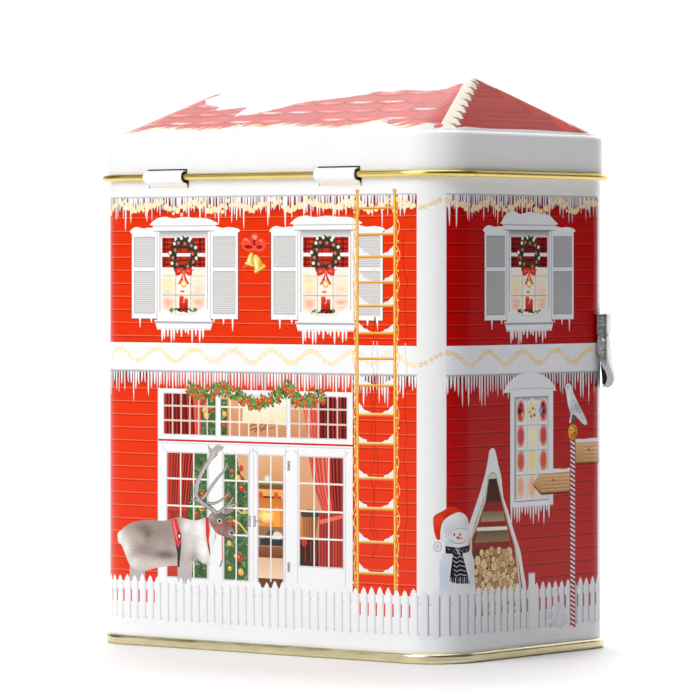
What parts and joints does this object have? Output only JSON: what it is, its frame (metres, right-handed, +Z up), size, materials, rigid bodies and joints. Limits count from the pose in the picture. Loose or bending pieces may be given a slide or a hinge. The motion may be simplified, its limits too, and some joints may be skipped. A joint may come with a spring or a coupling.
{
  "type": "cookie tin",
  "caption": "House-shaped printed tinplate tin with a hinged hipped-roof lid, rolled edges, a double-seamed bottom and a small cast corner clasp.",
  "frame": {"origin": "centre of the plane that the bottom seam stands on", "axes": "+Z up, +X along the long walls towards the end with the clasp, +Y from the hinge wall to the front"},
  "size_m": [0.1318, 0.0873, 0.1593],
  "materials": {
    "printed_tinplate": "glossy varnished print on tinplate",
    "gold_lacquer": "satin gold lacquer on tinplate",
    "cast_pewter": "grainy antique-silver casting",
    "clasp_steel": "bright plated steel"
  },
  "bodies": {
    "tin_body": {"body_wall": "printed_tinplate", "bottom_panel": "gold_lacquer", "clasp_base": "cast_pewter", "clasp_pin": "clasp_steel", "clasp_rivets": "clasp_steel"},
    "lid": {"lid": "printed_tinplate"},
    "clasp_lever": {"clasp_lever": "cast_pewter"}
  },
  "joints": [
    {"name": "lid_hinge", "type": "hinge", "parent": "tin_body", "child": "lid", "pos_m": [0, -0.04225, 0.132], "axis": [1, 0, 0], "range_deg": [0, 105]},
    {"name": "clasp_pivot", "type": "hinge", "parent": "tin_body", "child": "clasp_lever", "pos_m": [0.06111, 0.03599, 0.0865], "axis": [0.5592, -0.829, 0], "range_deg": [0, 75]}
  ]
}
